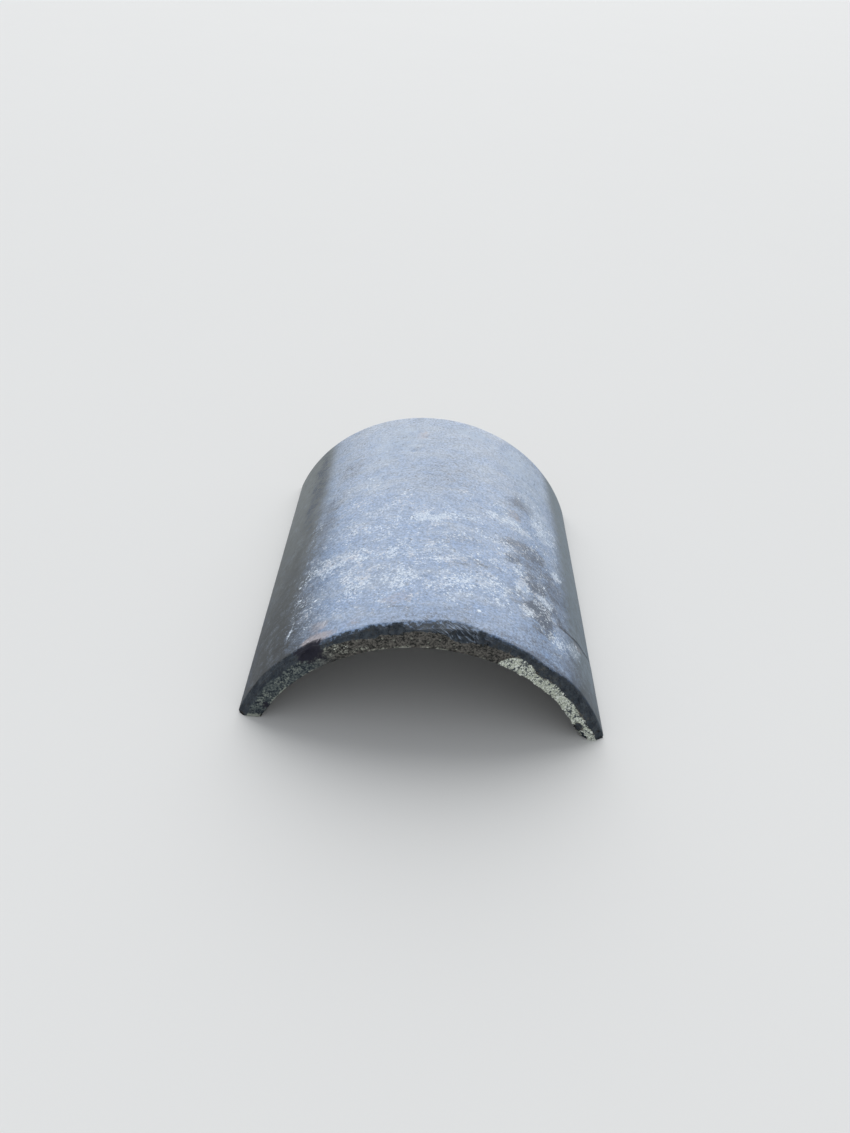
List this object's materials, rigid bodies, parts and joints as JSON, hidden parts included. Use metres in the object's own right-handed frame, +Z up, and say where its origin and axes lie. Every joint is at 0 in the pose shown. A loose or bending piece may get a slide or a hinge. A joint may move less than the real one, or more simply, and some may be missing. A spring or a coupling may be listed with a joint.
{
  "type": "clay roof ridge tile",
  "caption": "Arched fired-clay ridge tile with square-cut ends, resting on its two long flat bearing edges; one end has a worn arris and small chips.",
  "frame": {"origin": "middle of the footprint, in the plane of the two bearing edges", "axes": "+Y along the ridge, from the worn end to the plain one; +Z up, out of the crown; +X to the right seen from the worn end"},
  "size_m": [0.2482, 0.3125, 0.086],
  "materials": {
    "fired_clay": "matt blue-black fired clay, weathered, with a pale bloom on the crown"
  },
  "bodies": {
    "root": {"ridge_tile": "fired_clay"}
  },
  "joints": []
}
